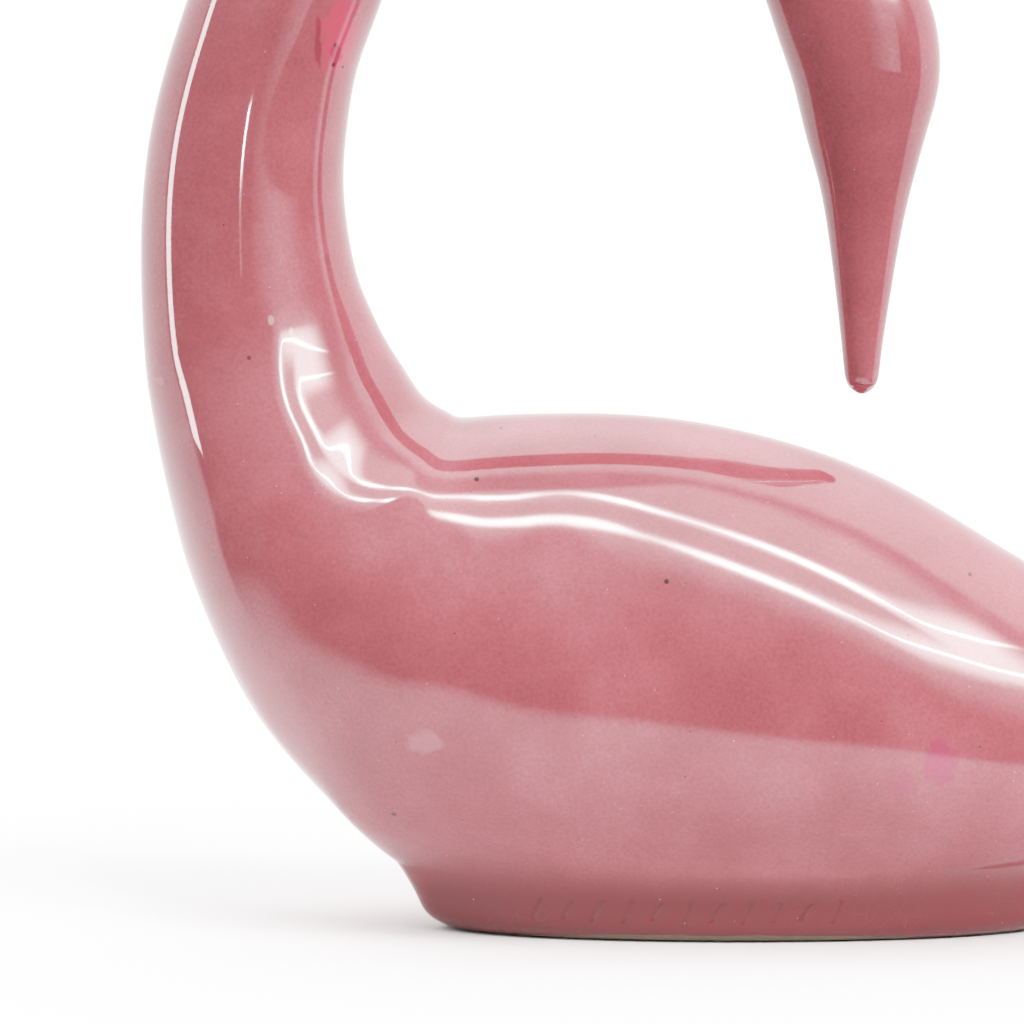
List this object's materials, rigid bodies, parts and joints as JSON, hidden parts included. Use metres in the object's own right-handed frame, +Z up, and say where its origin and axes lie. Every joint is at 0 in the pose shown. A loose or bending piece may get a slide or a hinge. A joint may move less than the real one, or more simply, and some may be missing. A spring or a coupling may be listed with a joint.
{
  "type": "ceramic swan figurine",
  "caption": "Glazed ceramic swan with a tall arched neck, its bill pointing down over its back, standing on a flat oval foot.",
  "frame": {"origin": "centre of the foot's flat underside", "axes": "+X towards the tail, +Y towards the swan's right side, +Z up; the swan faces -X"},
  "size_m": [0.3007, 0.0988, 0.305],
  "materials": {
    "pink_glaze": "glossy dusty-pink glaze over buff earthenware"
  },
  "bodies": {
    "root": {"swan": "pink_glaze"}
  },
  "joints": []
}
